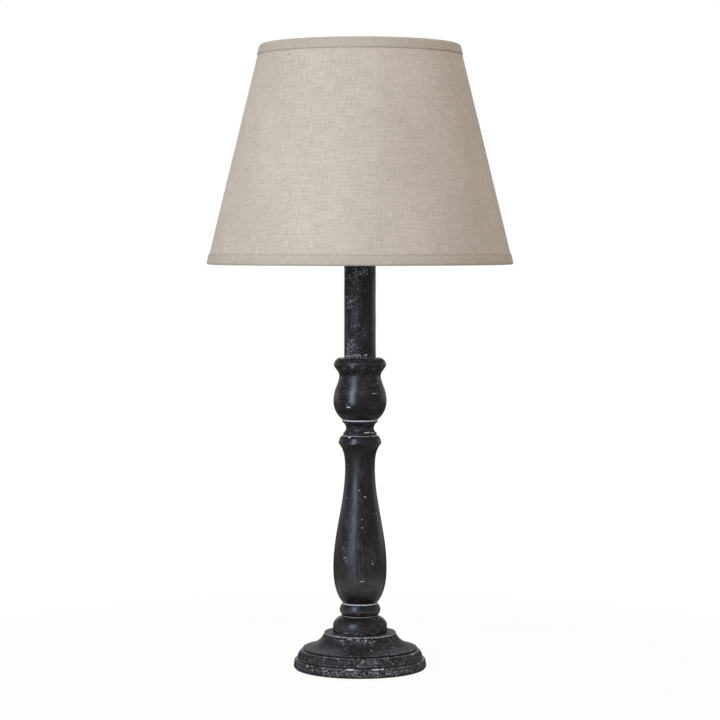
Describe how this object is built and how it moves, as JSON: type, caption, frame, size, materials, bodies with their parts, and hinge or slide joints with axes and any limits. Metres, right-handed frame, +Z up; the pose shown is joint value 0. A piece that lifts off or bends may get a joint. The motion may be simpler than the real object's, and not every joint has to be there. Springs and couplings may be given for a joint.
{
  "type": "column table lamp",
  "caption": "Table lamp with a turned wooden column on a round moulded foot and a tapered linen shade, clamped between threaded rings on the lampholder.",
  "frame": {"origin": "centre of the foot's underside, on the table", "axes": "+Z up along the column; +Y towards the back, where the cord hole is; the front, as pictured, faces -Y"},
  "size_m": [0.3, 0.3, 0.6108],
  "materials": {
    "wood": "dark charcoal wash over turned wood, rubbed through to pale patina in the grooves and on the edges, satin",
    "felt": "matt pressed felt",
    "black_plastic": "satin moulded thermoplastic",
    "zinc_steel": "zinc plated steel, slightly dull",
    "porcelain": "unglazed white steatite",
    "brass": "stamped brass strip",
    "white_metal": "white powder coat",
    "shade_lining": "matt white styrene sheet",
    "linen": "natural linen with slubs, laminated on the lining",
    "binding": "natural linen tape, folded and glued",
    "solder": "tinned contact",
    "insulator": "black vitrite",
    "cap_metal": "rolled thread, satin",
    "opal_glass": "opal white, satin"
  },
  "bodies": {
    "stand": {"foot": "wood", "felt_pad": "felt", "cord_bush": "black_plastic", "base_ring": "wood", "neck_bead": "wood", "baluster": "wood", "cove": "wood", "urn": "wood", "column": "wood", "threaded_tube": "zinc_steel", "foot_washer": "zinc_steel", "foot_nut": "zinc_steel", "top_washer": "zinc_steel", "top_nut": "zinc_steel", "holder_dome": "black_plastic", "lock_screw": "zinc_steel", "contact_block": "porcelain", "screw_shell": "brass", "centre_contact": "brass", "terminal_screws": "brass", "holder_skirt": "black_plastic"},
    "seat_ring": {"seat_ring": "black_plastic"},
    "shade": {"spider_ring": "white_metal", "spider_arms": "white_metal", "bottom_wire": "white_metal", "top_wire": "white_metal", "shade_lining": "shade_lining", "shade_cover": "linen", "bottom_binding": "binding", "top_binding": "binding"},
    "clamp_ring": {"clamp_ring": "black_plastic"},
    "bulb_contact": {"bulb_contact": "solder"},
    "bulb": {"cap_insulator": "insulator", "bulb_cap": "cap_metal", "bulb_glass": "opal_glass"}
  },
  "joints": [
    {"name": "shade_height", "type": "slide", "parent": "stand", "child": "seat_ring", "axis": [0, 0, 1], "range_m": [0, 0.01]},
    {"name": "shade_turn", "type": "hinge", "parent": "seat_ring", "child": "shade", "pos_m": [0, 0, 0.4407], "axis": [0, 0, 1], "continuous": true},
    {"name": "clamp_ring_lift", "type": "slide", "parent": "seat_ring", "child": "clamp_ring", "axis": [0, 0, 1], "range_m": [0, 0.01]},
    {"name": "bulb_rise", "type": "slide", "parent": "stand", "child": "bulb_contact", "axis": [0, 0, 1], "range_m": [0, 0.0164]},
    {"name": "bulb_turn", "type": "hinge", "parent": "bulb_contact", "child": "bulb", "pos_m": [0, 0, 0.4397], "axis": [0, 0, 1], "range_deg": [0, 1620]}
  ],
  "couplings": [
    {"joint": "bulb_rise", "follows": "bulb_turn", "m_per_rad": 0.00057757}
  ]
}
